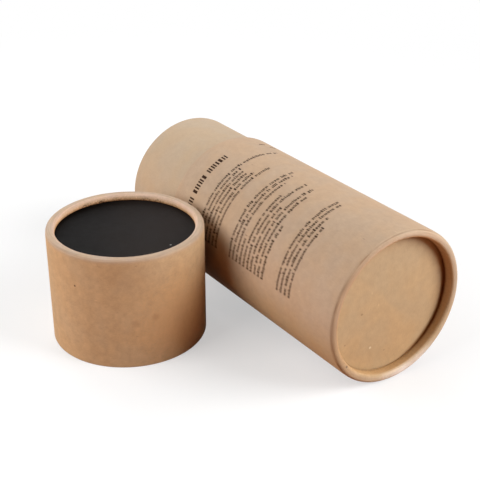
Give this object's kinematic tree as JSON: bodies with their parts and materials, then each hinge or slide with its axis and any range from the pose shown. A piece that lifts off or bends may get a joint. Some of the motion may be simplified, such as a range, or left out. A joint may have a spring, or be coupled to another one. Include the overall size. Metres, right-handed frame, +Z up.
{
  "type": "paper tube box",
  "caption": "Kraft paper tube box on its side, with a rolled rim round a recessed base disc and a narrower neck; its black-topped lid stands beside it, open edge down.",
  "frame": {"origin": "middle of the floor under the tube and the lid together", "axes": "+X along the lying tube towards its closed end, +Z up, the lid on the -Y side"},
  "size_m": [0.1934, 0.1688, 0.084],
  "materials": {
    "kraft_body": "matte",
    "kraft_base": "matte",
    "kraft_neck": "matte",
    "kraft_lid": "matte",
    "black_board": "matte"
  },
  "bodies": {
    "tube": {"body_tube": "kraft_body", "base_disc": "kraft_base", "neck_tube": "kraft_neck"},
    "lid": {"lid_tube": "kraft_lid", "lid_disc": "black_board"}
  },
  "joints": [
    {"name": "lid_lift", "type": "slide", "parent": "tube", "child": "lid", "axis": [0, 0, 1], "range_m": [0, 0.1]}
  ]
}
